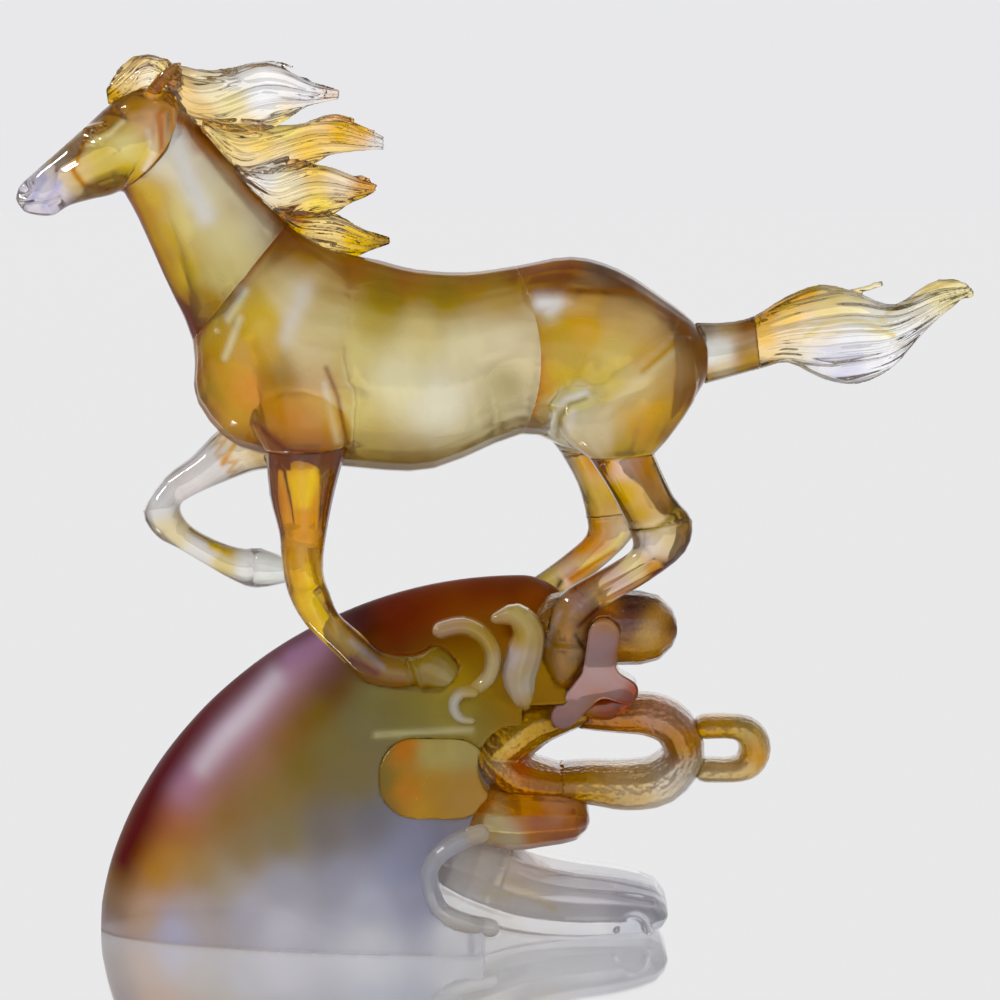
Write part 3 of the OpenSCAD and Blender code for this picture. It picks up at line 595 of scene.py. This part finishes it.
NECK_STROKES = [
    (-108, 238, -94, 196, 4, -1.2), (-98, 250, -80, 216, 7, 0.9), (-96, 254, -74, 228, 4, -0.7),
    (-112, 236, -102, 204, 4, 0.8),
]
HEAD_STROKES = [
    (-113, 252, -112, 250, 8, 1.7), (-105, 262, -105, 246, 1.6, 0.7), (-105, 246, -114, 240, 1.6, 0.7),
    (-122, 250, -136, 243, 2.4, 0.9), (-119, 262, -117, 260, 3, -1.0), (-124, 256, -130, 254, 4, 0.8),
    (-126.5, 255.5, -127.5, 255.2, 1.8, -1.2), (-127, 255.4, -127.2, 255.4, 1.3, 1.9),
    (-124, 258.4, -130, 257.2, 1.1, 0.9), (-125, 253, -129.5, 253, 0.9, 0.5),
    (-149, 238.6, -150, 237.6, 1.5, -1.7), (-147.6, 240, -146.6, 237.4, 1.2, 0.7),
    (-151, 233.2, -139, 235.6, 0.9, -0.9), (-148, 231.4, -143, 231.6, 1.6, 0.5),
    (-134, 248, -142, 242, 2.6, -0.5), (-122, 243, -130, 238.6, 3, -0.9),
]
LEG_STROKES = [
    (-62, 150, -60, 132, 4, 1.0), (-66, 150, -64, 134, 2, -0.8), (-55, 148, -57, 132, 2, -0.7),
    (-62, 121, -60, 116, 4, 1.3), (-58, 112, -50, 98, 1.6, -0.7), (-38, 88, -34, 86, 4, 1.0),
    (-30, 94, -25, 79, 1.2, -0.9), (-28, 94, -23, 79, 1.0, 0.7),
]
FAR_LEG_STROKES = [
    (-84, 154, -100, 142, 3, 0.8), (-108, 136, -106, 132, 4, 1.0), (-100, 126, -90, 120, 1.5, -0.6),
    (-84, 117, -82, 117, 3.5, 0.9), (-78, 122, -79, 109, 1.0, -0.8),
]
GASKIN_STROKES = [
    (40, 150, 48, 138, 4, 0.9), (34, 152, 42, 134, 1.8, -0.7), (52, 152, 56, 138, 1.8, -0.7),
]
CANNON_STROKES = [
    (54, 130, 52, 126, 4, 1.1), (50, 122, 34, 112, 1.5, -0.8), (26, 106, 24, 103, 4, 0.9),
    (15, 96, 30, 95, 1.0, -0.9), (15, 94, 30, 93, 1.0, 0.7),
]


def refined(node, voxel_mm, passes, strokes=()):
    """The CAD node's own shape with its facets rounded off and its detail sculpted in."""
    mesh = remesh(cad_mesh(node), voxel_mm)
    relax(mesh, passes)
    if strokes:
        sculpt(mesh, strokes)
    return mesh


# Bond faces of the trunk: two points (x, z) in mm, from the top down, and the bulge backwards
HEAD_JOINT = ((-102, 270), (-119, 238), 7)
NECK_JOINT = ((-66, 228), (-97, 190), 0)
FLANK_JOINT = ((6, 214), (8, 160), 7)
# Height in mm of the strips that make up a closed cut
CAP_STRIP = 2


def cut(mesh, joint, keep_front):
    """Keeps one side of a bond face and closes the cut. The mesh is bent so that a curved
    bond face is flat while it is cut, and then bent back."""
    (x0, z0), (x1, z1), bulge = joint
    forward = Vector((z1 - z0, 0, x0 - x1)).normalized()
    body = bmesh.new()
    body.from_mesh(mesh)

    def bend(sign):
        for vert in body.verts:
            t = (vert.co.z / MM - z1) / (z0 - z1)
            vert.co.x += sign * bulge * MM * max(4 * t * (1 - t), 0)

    bend(-1)
    geom = body.verts[:] + body.edges[:] + body.faces[:]
    done = bmesh.ops.bisect_plane(body, geom=geom, plane_co=(x0 * MM, 0, z0 * MM),
                                  plane_no=-forward if keep_front else forward, clear_outer=True)
    rim = [e for e in done["geom_cut"] if isinstance(e, bmesh.types.BMEdge)]
    cap = bmesh.ops.edgeloop_fill(body, edges=rim)["faces"]
    heights = [v.co.z for face in cap for v in face.verts]
    for height in np.arange(min(heights), max(heights), CAP_STRIP * MM)[1:]:
        geom = list({item for face in cap for item in (face, *face.edges, *face.verts)})
        split = bmesh.ops.bisect_plane(body, geom=geom, plane_co=(0, 0, height), plane_no=(0, 0, 1))
        cap = [item for item in split["geom"] if isinstance(item, bmesh.types.BMFace)]
    bend(1)
    kept = bpy.data.meshes.new("cut")
    body.to_mesh(kept)
    body.free()
    return kept


# Size in mm of the quads of the horse's skin and legs, and how often each is smoothed
SKIN_VOXEL, SKIN_PASSES = 0.65, 30
LEG_VOXEL, LEG_PASSES = 0.5, 16


def horse_skin():
    """Head, neck and trunk as one smooth sculpted skin, before it is sawn at its bonds."""
    parts = []
    for node in ("head", "neck", "trunk_front", "hindquarters"):
        base = cad_mesh(node)
        parts.append((points_of(base), [list(p.vertices) for p in base.polygons]))
    mesh = remesh(from_parts("skin", parts), SKIN_VOXEL)
    relax(mesh, SKIN_PASSES)
    sculpt(mesh, TRUNK_STROKES + HIND_STROKES + NECK_STROKES)
    return mesh


def finer(mesh):
    """The same mesh with every face split in four."""
    body = bmesh.new()
    body.from_mesh(mesh)
    bmesh.ops.subdivide_edges(body, edges=body.edges[:], cuts=1, use_grid_fill=True)
    body.to_mesh(mesh)
    body.free()
    return mesh


# Skins of glass that share the colour that is seen
HEAD_LAYERS, BODY_LAYERS, LEG_LAYERS = 1.2, 1.3, 1.35


def build_horse():
    skin = horse_skin()
    behind_head = cut(skin, HEAD_JOINT, False)
    behind_neck = cut(behind_head, NECK_JOINT, False)
    head = finer(cut(skin, HEAD_JOINT, True))
    sculpt(head, HEAD_STROKES)
    place("head_piece", head, POLISHED, ["head"], HEAD_TINT, HEAD_LINES_AND_HIGHLIGHTS,
          layers=HEAD_LAYERS)
    place("neck_piece", cut(behind_head, NECK_JOINT, True), BODY_GLASS, ["neck"],
          NECK_TINT, NECK_BANDS_AND_HIGHLIGHTS, 4, BODY_LAYERS)
    place("trunk_piece", cut(behind_neck, FLANK_JOINT, True), BODY_GLASS, ["trunk_front"],
          FRONT_TINT, FRONT_LINES_AND_HIGHLIGHTS, 5, BODY_LAYERS)
    place("hindquarters_piece", cut(behind_neck, FLANK_JOINT, False), BODY_GLASS,
          ["hindquarters"], HIND_TINT, HIND_LINES_AND_HIGHLIGHTS, 4, BODY_LAYERS)
    hind = (HIND_LEG_TINT_AND_HIGHLIGHTS, HIND_LEG_LINES_AND_HIGHLIGHTS)
    legs = {
        "left_foreleg": (LEG_STROKES, FORELEG_TINT, FORELEG_LINES_AND_HIGHLIGHTS),
        "right_foreleg": (FAR_LEG_STROKES, FAR_FORELEG_TINT, FAR_FORELEG_STREAKS),
        "left_gaskin": (GASKIN_STROKES, *hind), "right_gaskin": ((), *hind),
        "left_hind_cannon": (CANNON_STROKES, *hind), "right_hind_cannon": ((), *hind),
        "tail_dock": ((), DOCK_TINT, ()),
    }
    for node, (strokes, tint, streaks) in legs.items():
        mesh = refined(node, LEG_VOXEL, LEG_PASSES, strokes)
        place(node + "_piece", mesh, POLISHED, [node], tint, streaks, layers=LEG_LAYERS)


# ---------------------------------------------------------------- mane and tail

STATIONS = 24
# Width of the slice that is read at each station, in spacings
SLICE = 1.2


def envelope(node):
    """Top, low and half depth of a CAD lock at stations along X, as smooth arrays."""
    points = points_of(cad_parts[node].data)
    low_x, high_x = points[:, 0].min(), points[:, 0].max()
    xs = np.linspace(low_x, high_x, STATIONS)
    reach = (high_x - low_x) / STATIONS * SLICE
    rows = []
    for x in xs:
        near = points[np.abs(points[:, 0] - x) < reach]
        rows.append((x, near[:, 2].max(), near[:, 2].min(), np.abs(near[:, 1]).max()))
    rows = np.array(rows)
    for _ in range(3):
        rows[1:-1, 1:] = (rows[:-2, 1:] + 2 * rows[1:-1, 1:] + rows[2:, 1:]) / 4
    return rows


STRAND_STEPS, STRAND_SIDES = 40, 8
# Shares of a strand's length by which clumps, and strands within them, end short of the tip
CLUMP_SHORT, STRAND_SHORT = 0.3, 0.08
# Turn of the wave from clump to clump and at most from strand to strand, in radians
CLUMP_TURN, STRAND_TURN = 1.7, 0.6
# Share of the way to the middle of its clump that a strand goes by its tip
GATHER = 0.7
# How far strands sway in Y, and the share of the lock's depth that they fill
SWAY, FILL = 0.8 * MM, 0.8


def strands(node, rng, count, thick_mm, wave_mm, waves, clumps):
    """Tapered wavy strands that fill a lock's envelope and gather in clumps at the tips."""
    rows = envelope(node)
    root_x, tip_x = (rows[-1, 0], rows[0, 0]) if node == "forelock" else (rows[0, 0], rows[-1, 0])
    parts = []
    for i in range(count):
        u = (i + 0.5) / count
        clump = int(u * clumps)
        centre = (clump + 0.5) / clumps
        side = rng.uniform(-1, 1)
        end = 1 - CLUMP_SHORT * ((clump * 0.37) % 1) - STRAND_SHORT * rng.random()
        phase = CLUMP_TURN * clump + rng.uniform(-STRAND_TURN, STRAND_TURN)
        t = np.linspace(0, end, STRAND_STEPS)
        x = root_x + t * (tip_x - root_x)
        top, low, depth = (np.interp(x, rows[:, 0], rows[:, k]) for k in (1, 2, 3))
        v = np.clip(u + (centre - u) * (t / end) ** 2 * GATHER, 0.02, 0.98)
        turn = waves * 2 * math.pi * t + phase
        z = low + v * (top - low) + wave_mm * MM * np.sin(turn) * np.minimum(t * 3, 1)
        y = side * depth * np.sqrt(1 - (2 * v - 1) ** 2) * FILL + SWAY * np.sin(turn + 1)
        radii = thick_mm * MM * rng.uniform(0.6, 1.3) * (1 - (t / end) ** 4 * 0.65)
        parts.append(tube(np.stack([x, y, z], axis=1), radii, STRAND_SIDES))
    return parts


HAIR_VOXEL = 0.45


def lock_mesh(node, seed, *shape):
    """A mane lock: the CAD lock's body with seeded strands laid over and past it."""
    rng = np.random.default_rng(seed)
    base = cad_mesh(node)
    body = (points_of(base), [list(p.vertices) for p in base.polygons])
    mesh = remesh(from_parts(node, [body] + strands(node, rng, *shape)), HAIR_VOXEL)
    relax(mesh, 4)
    flowing(mesh, node, 3, 0.4)
    return mesh


# Mane locks: seed, strand count, strand radius mm, wave mm, waves, clumps at the tips
LOCKS = {
    "mane_upper": (3, 34, 0.8, 2.0, 1.3, 6), "mane_middle": (5, 26, 1.2, 1.9, 1.5, 5),
    "mane_lower": (7, 24, 1.2, 1.7, 1.4, 4), "mane_withers": (9, 16, 1.1, 1.0, 1.2, 3),
    "forelock": (11, 22, 0.9, 1.0, 1.6, 5),
}


def flowing(mesh, node, ridges, height_mm):
    """Long wavy ridges that run along a lock from its root to its tip."""
    rows = envelope(node)
    points = points_of(mesh)
    normals = normals_of(mesh)
    t = (points[:, 0] - rows[0, 0]) / (rows[-1, 0] - rows[0, 0])
    top, low = (np.interp(points[:, 0], rows[:, 0], rows[:, k]) for k in (1, 2))
    v = (points[:, 2] - low) / np.maximum(top - low, 1 * MM)
    bow = 0.35 * np.sin(2 * math.pi * 1.1 * t + 0.6)
    turn = 2 * math.pi * (ridges * v + bow)
    lift = height_mm * MM * (np.sin(turn) + 0.4 * np.sin(2.3 * turn + 1))
    lift *= np.clip(np.abs(normals[:, 1]) * 1.5, 0, 1) * np.clip(t * 6, 0, 1)
    put_points(mesh, points + normals * lift[:, None])


# Rolled upper edge and loose wisp of the tail: radius mm at the start and the end, then (x, y, z) mm
TAIL_ROLLS = [
    (1.2, 1.9, [(118, 0, 197), (125, 0, 199), (131, 0, 202), (137, 0, 206), (142, 0, 208.2)]),
    (1.9, 1.2, [(141, 0, 207.8), (146, 0, 208.2), (149.5, 0, 206.8), (151.2, 0, 204.6)]),
    (1.1, 0.8, [(106, 0, 205), (113, 1, 205.5), (118, 1, 206.6), (123, 0, 208.6)]),
    (1.2, 0.8, [(84, -4, 197), (94, -5, 201), (104, -5, 203), (114, -4, 201), (124, -2, 197)]),
]


ROLL_STEPS, ROLL_SIDES = 20, 10


def tail_mesh():
    """The tail switch as one flowing sheet with a rolled tip."""
    base = cad_mesh("tail_switch")
    parts = [(points_of(base), [list(p.vertices) for p in base.polygons])]
    for start, end, track in TAIL_ROLLS:
        track = np.array(track) * MM
        at = np.linspace(0, len(track) - 1, ROLL_STEPS)
        path = np.stack([np.interp(at, range(len(track)), track[:, k]) for k in range(3)], axis=1)
        for _ in range(2):
            path[1:-1] = (path[:-2] + 2 * path[1:-1] + path[2:]) / 4
        parts.append(tube(path, np.linspace(start, end, ROLL_STEPS) * MM, ROLL_SIDES))
    mesh = remesh(from_parts("tail", parts), HAIR_VOXEL)
    relax(mesh, 6)
    flowing(mesh, "tail_switch", 4, 0.45)
    return mesh


MANE_LAYERS, TAIL_LAYERS = 1.7, 1.3


def build_hair():
    for node, (seed, *shape) in LOCKS.items():
        tint = FORELOCK_TINT if node == "forelock" else MANE_TINT
        place(node + "_piece", lock_mesh(node, seed, *shape), STRAND, [node], tint,
              layers=MANE_LAYERS)
    place("tail_switch_piece", tail_mesh(), STRAND, ["tail_switch"], TAIL_TINT, TAIL_STREAKS,
          layers=TAIL_LAYERS)


# ---------------------------------------------------------------- base and clouds

def dome_gap(p):
    """How far outside the dome's arch a point is, as a ratio; 0 lies on the arch."""
    top_x, front, rear, half_w, ridge, height = 8 * MM, 136 * MM, 44 * MM, 48 * MM, 8 * MM, 114 * MM
    run = np.where(p[:, 0] < top_x, front, rear)
    rest = np.maximum(1 - ((p[:, 0] - top_x) / run) ** 2, 1e-4)
    width = half_w * np.sqrt(rest)
    peak = ridge * np.sqrt(rest)
    side = np.where(p[:, 1] < peak, width + peak, width - peak)
    arch = 1.55
    return (np.abs((p[:, 1] - peak) / side) ** arch
            + (np.maximum(p[:, 2], 1 * MM) / (height * rest ** 0.56)) ** arch - 1)


DOME_VOXEL = 1.2
# Points this near the arch are pulled onto it, above this height, and less and less towards the tip
NEAR_ARCH, FOOT = 1.3 * MM, 0.3 * MM
TIP_X, TIP_FADE = -127.5 * MM, 4 * MM


def dome_mesh():
    """The dome with its facets pulled out to the true curved arch."""
    mesh = remesh(cad_mesh("base_dome"), DOME_VOXEL)
    relax(mesh, 2)
    points = points_of(mesh)
    probe = 0.02 * MM
    for _ in range(3):
        gap = dome_gap(points)
        slope = np.stack([(dome_gap(points + probe * axis) - gap) / probe for axis in np.eye(3)], axis=1)
        size2 = np.maximum((slope ** 2).sum(axis=1), 1e-9)
        away = gap / np.sqrt(size2)
        near = (np.abs(away) < NEAR_ARCH) & (points[:, 2] > FOOT)
        calm = np.clip((points[:, 0] - TIP_X) / TIP_FADE, 0, 1)
        points[near] -= (calm * gap / size2)[near, None] * slope[near]
    points[:, 2] = np.maximum(points[:, 2], 0)
    put_points(mesh, points)
    return mesh


DOME_SOFT = 6
CLOUD_VOXEL, CLOUD_PASSES = 0.6, 14


def build_base():
    place("dome_piece", dome_mesh(), DOME, ["base_dome"], DOME_TINT, DOME_LINES_AND_HIGHLIGHTS, DOME_SOFT)
    # Each cloud's crystal, how many skins share its colour, its spots and its streaks
    clouds = {
        "cloud_inlay": (INLAY, 1, INLAY_TINT), "cloud_foot_lobe": (CLEAR, 2.5, FOOT_TINT, FOOT_STREAKS),
        "cloud_middle_lobe": (CLOUD, 1.15, MIDDLE_TINT_AND_HIGHLIGHTS), "cloud_hook": (BUBBLY, 1.2, HOOK_TINT),
        "cloud_big_loop": (BUBBLY, 1.2, LOOP_TINT), "cloud_small_ring": (BUBBLY, 1.1, RING_TINT),
        "cloud_red_lobe": (CLOUD, 1.2, RED_TINT), "cloud_star": (STAR, 1.1, STAR_TINT_AND_HIGHLIGHT),
        "cloud_top_knob": (BUBBLY, 1, KNOB_TINT), "cloud_crest": (CURL, 1.5, CREST_TINT_AND_HIGHLIGHT),
        "cloud_front_curl": (CLEAR, 2.5, CLEAR_TINT), "cloud_hoof_curl": (CURL, 1.5, CURL_TINT_AND_HIGHLIGHT),
    }
    for node, (material, layers, *tints) in clouds.items():
        mesh = refined(node, CLOUD_VOXEL, CLOUD_PASSES)
        place(node + "_piece", mesh, material, [node], *tints, layers=layers)


# ---------------------------------------------------------------- studio

PALE = "#E8E8EA"
# The floor glows less than the backdrop, because half of what it shows is the brighter studio
FLOOR_GLOW, FLOOR_MIRROR, FLOOR_HALF = "#BFBFC2", 0.5, 6
STUDIO_PALE, STUDIO_DARK = (1.1, 1.1, 1.1, 1), (0.16, 0.14, 0.14, 1)
CAMERA_DISTANCE, CAMERA_TILT = 1.6, math.radians(5.5)
# Width of the picture, height of its middle, and its shift along X from the object's middle
PICTURE_WIDTH, PICTURE_MIDDLE_Z, PICTURE_SHIFT = 320 * MM, 139 * MM, 1.6 * MM
SENSOR_WIDTH = 36


def area_light(name, at, target, size, power, glossy, colour=(1, 1, 1)):
    light = bpy.data.lights.new(name, "AREA")
    light.shape = "RECTANGLE"
    light.size, light.size_y = size
    light.energy = power
    light.color = colour
    lamp = bpy.data.objects.new(name, light)
    lamp.location = at
    lamp.visible_transmission = False
    lamp.visible_glossy = glossy
    lamp.rotation_euler = (Vector(target) - Vector(at)).to_track_quat("-Z", "Y").to_euler()
    bpy.context.scene.collection.objects.link(lamp)


def build_studio():
    low, high = (Vector(c) for c in cad_box)
    middle = (low + high) / 2
    floor_mesh = bpy.data.meshes.new("floor")
    corners = [(x * FLOOR_HALF, y * FLOOR_HALF, 0) for x, y in ((-1, -1), (1, -1), (1, 1), (-1, 1))]
    floor_mesh.from_pydata(corners, [], [(0, 1, 2, 3)])
    floor = bpy.data.objects.new("floor", floor_mesh)
    bpy.context.scene.collection.objects.link(floor)
    table = bpy.data.materials.new("floor")
    table.use_nodes = True
    nodes, links = table.node_tree.nodes, table.node_tree.links
    shine = nodes.new("ShaderNodeBsdfGlossy")
    shine.inputs["Color"].default_value = (1, 1, 1, 1)
    shine.inputs["Roughness"].default_value = 0.05
    glow = nodes.new("ShaderNodeEmission")
    glow.inputs["Color"].default_value = (*srgb(FLOOR_GLOW), 1)
    blend = nodes.new("ShaderNodeMixShader")
    blend.inputs["Fac"].default_value = FLOOR_MIRROR
    links.new(glow.outputs["Emission"], blend.inputs[1])
    links.new(shine.outputs["BSDF"], blend.inputs[2])
    links.new(blend.outputs["Shader"], nodes["Material Output"].inputs["Surface"])
    nodes.remove(nodes["Principled BSDF"])
    floor_mesh.materials.append(table)

    world = bpy.data.worlds.new("studio")
    bpy.context.scene.world = world
    world.use_nodes = True
    nodes, links = world.node_tree.nodes, world.node_tree.links
    pale = (*srgb(PALE), 1)
    background = nodes["Background"]
    path = nodes.new("ShaderNodeLightPath")
    where = nodes.new("ShaderNodeTexCoord")
    split = nodes.new("ShaderNodeSeparateXYZ")
    ramp = nodes.new("ShaderNodeValToRGB")
    ramp.color_ramp.elements[0].position = 0.3
    ramp.color_ramp.elements[0].color = STUDIO_PALE
    ramp.color_ramp.elements[1].position = 0.8
    ramp.color_ramp.elements[1].color = STUDIO_DARK
    links.new(where.outputs["Generated"], split.inputs["Vector"])
    sideways = nodes.new("ShaderNodeMath")
    sideways.operation = "ABSOLUTE"
    links.new(split.outputs["X"], sideways.inputs[0])
    off_axis = nodes.new("ShaderNodeMath")
    off_axis.operation = "MAXIMUM"
    links.new(split.outputs["Z"], off_axis.inputs[0])
    links.new(sideways.outputs["Value"], off_axis.inputs[1])
    links.new(off_axis.outputs["Value"], ramp.inputs["Fac"])
    mix = nodes.new("ShaderNodeMixRGB")
    mix.inputs["Color2"].default_value = pale
    links.new(path.outputs["Is Camera Ray"], mix.inputs["Fac"])
    links.new(ramp.outputs["Color"], mix.inputs["Color1"])
    links.new(mix.outputs["Color"], background.inputs["Color"])

    area_light("key", (-1.15, -0.15, 1.1), middle, (0.16, 0.2), 7, True)
    area_light("fill", (0.9, -0.7, 0.6), middle, (0.2, 0.3), 3, False)
    area_light("rim", (-1.1, 0.8, 1.0), middle, (0.25, 0.6), 6, False, (1, 0.9, 1))

    camera = bpy.data.objects.new("camera", bpy.data.cameras.new("camera"))
    bpy.context.scene.collection.objects.link(camera)
    target = Vector((middle.x + PICTURE_SHIFT, 0, PICTURE_MIDDLE_Z))
    back = Vector((0, -math.cos(CAMERA_TILT), math.sin(CAMERA_TILT)))
    camera.location = target + CAMERA_DISTANCE * back
    camera.rotation_euler = (target - camera.location).to_track_quat("-Z", "Y").to_euler()
    camera.data.sensor_width = SENSOR_WIDTH
    camera.data.lens = SENSOR_WIDTH * CAMERA_DISTANCE / PICTURE_WIDTH
    bpy.context.scene.camera = camera
    bpy.context.scene.view_settings.view_transform = "Standard"
    bpy.context.scene.cycles.transmission_bounces = 16
    bpy.context.scene.cycles.max_bounces = 20


build_base()
build_horse()
build_hair()
build_studio()
